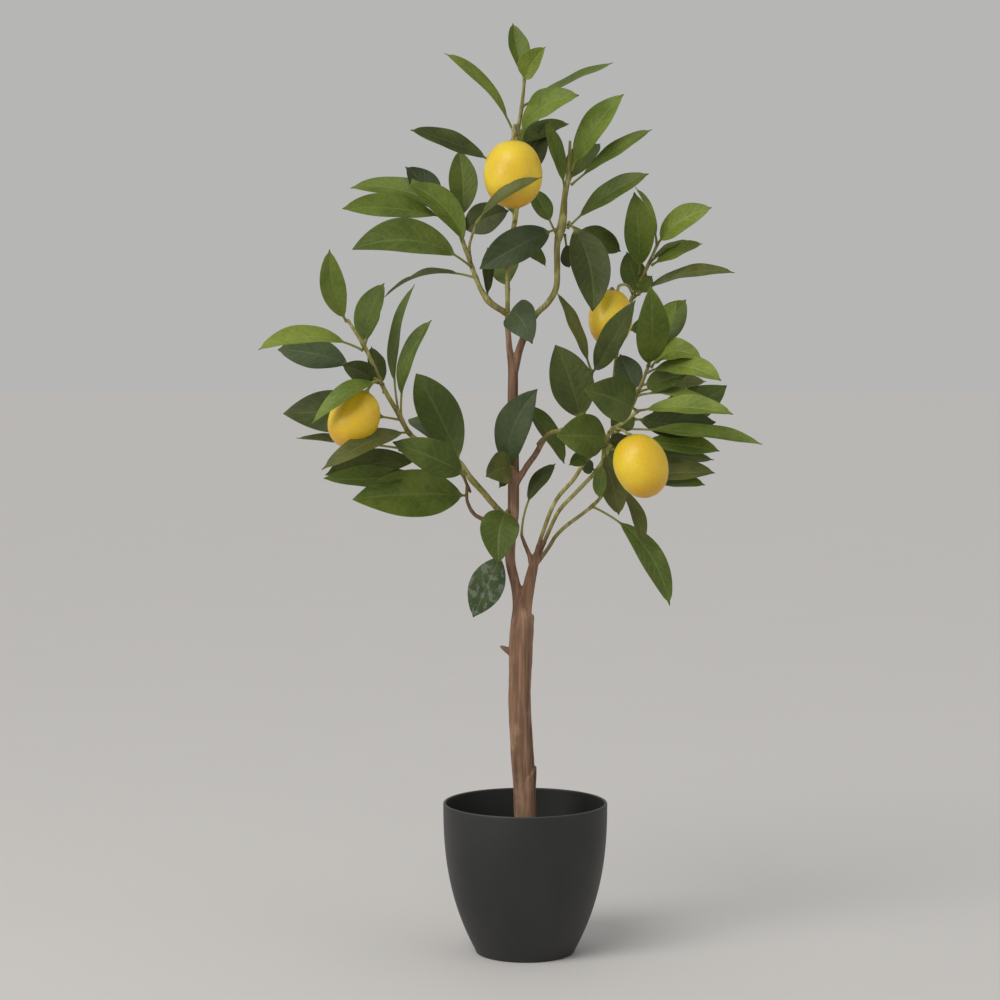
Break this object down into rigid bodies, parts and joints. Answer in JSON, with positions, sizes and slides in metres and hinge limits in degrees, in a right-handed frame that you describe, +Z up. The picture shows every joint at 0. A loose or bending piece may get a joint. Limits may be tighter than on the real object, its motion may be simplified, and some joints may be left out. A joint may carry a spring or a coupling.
{
  "type": "potted lemon tree",
  "caption": "Small lemon tree with a bare woody trunk and an open crown of leafy shoots and lemons, standing in a plain round tapered pot of compost.",
  "frame": {"origin": "The middle of the pot's flat underside, where it stands.", "axes": "+Z is up along the trunk and the pot's axis. -Y is the front of the crown, and +X is its right seen from the front."},
  "size_m": [0.3857, 0.1694, 0.7332],
  "materials": {
    "leaf_blue": "satin",
    "leaf_bright": "satin",
    "leaf_dark": "satin",
    "leaf_mid": "satin",
    "leaf_olive": "satin",
    "leaf_young": "satin",
    "lemon_peel": "satin",
    "pot_plastic": "matte",
    "shoot_bark": "matte",
    "soil_compost": "matte",
    "trunk_bark": "matte"
  },
  "bodies": {
    "root": {"leaf_centre_1": "leaf_blue", "leaf_centre_2": "leaf_mid", "leaf_hanging_1": "leaf_olive", "leaf_hanging_2": "leaf_mid", "leaf_left_1": "leaf_bright", "leaf_left_2": "leaf_mid", "leaf_left_3": "leaf_young", "leaf_left_4": "leaf_blue", "leaf_left_5": "leaf_mid", "leaf_left_6": "leaf_mid", "leaf_left_7": "leaf_mid", "leaf_left_8": "leaf_dark", "leaf_left_9": "leaf_bright", "leaf_low_1": "leaf_mid", "leaf_low_2": "leaf_blue", "leaf_middle_1": "leaf_blue", "leaf_middle_2": "leaf_blue", "leaf_right_1": "leaf_bright", "leaf_right_10": "leaf_bright", "leaf_right_11": "leaf_mid", "leaf_right_2": "leaf_young", "leaf_right_3": "leaf_olive", "leaf_right_4": "leaf_dark", "leaf_right_5": "leaf_dark", "leaf_right_6": "leaf_mid", "leaf_right_7": "leaf_bright", "leaf_right_8": "leaf_young", "leaf_right_9": "leaf_young", "leaf_top_1": "leaf_bright", "leaf_top_2": "leaf_young", "leaf_top_3": "leaf_young", "leaf_top_4": "leaf_bright", "leaf_top_5": "leaf_bright", "leaf_top_6": "leaf_dark", "leaf_upper_left_1": "leaf_bright", "leaf_upper_left_2": "leaf_bright", "leaf_upper_left_3": "leaf_mid", "leaf_upper_left_4": "leaf_olive", "leaf_upper_right_1": "leaf_bright", "leaf_upper_right_2": "leaf_bright", "leaf_upper_right_3": "leaf_bright", "leaf_upper_right_4": "leaf_mid", "leaf_upper_right_5": "leaf_dark", "lemon_left": "lemon_peel", "lemon_lower_right": "lemon_peel", "lemon_top": "lemon_peel", "lemon_upper_right": "lemon_peel", "pot": "pot_plastic", "shoot_centre": "shoot_bark", "shoot_far_right": "shoot_bark", "shoot_left": "shoot_bark", "shoot_low_left": "shoot_bark", "shoot_right_front": "shoot_bark", "shoot_right_low": "shoot_bark", "shoot_right_middle": "shoot_bark", "shoot_top": "shoot_bark", "shoot_upper_left": "shoot_bark", "shoot_upper_right": "shoot_bark", "soil": "soil_compost", "trunk": "trunk_bark"}
  },
  "joints": []
}
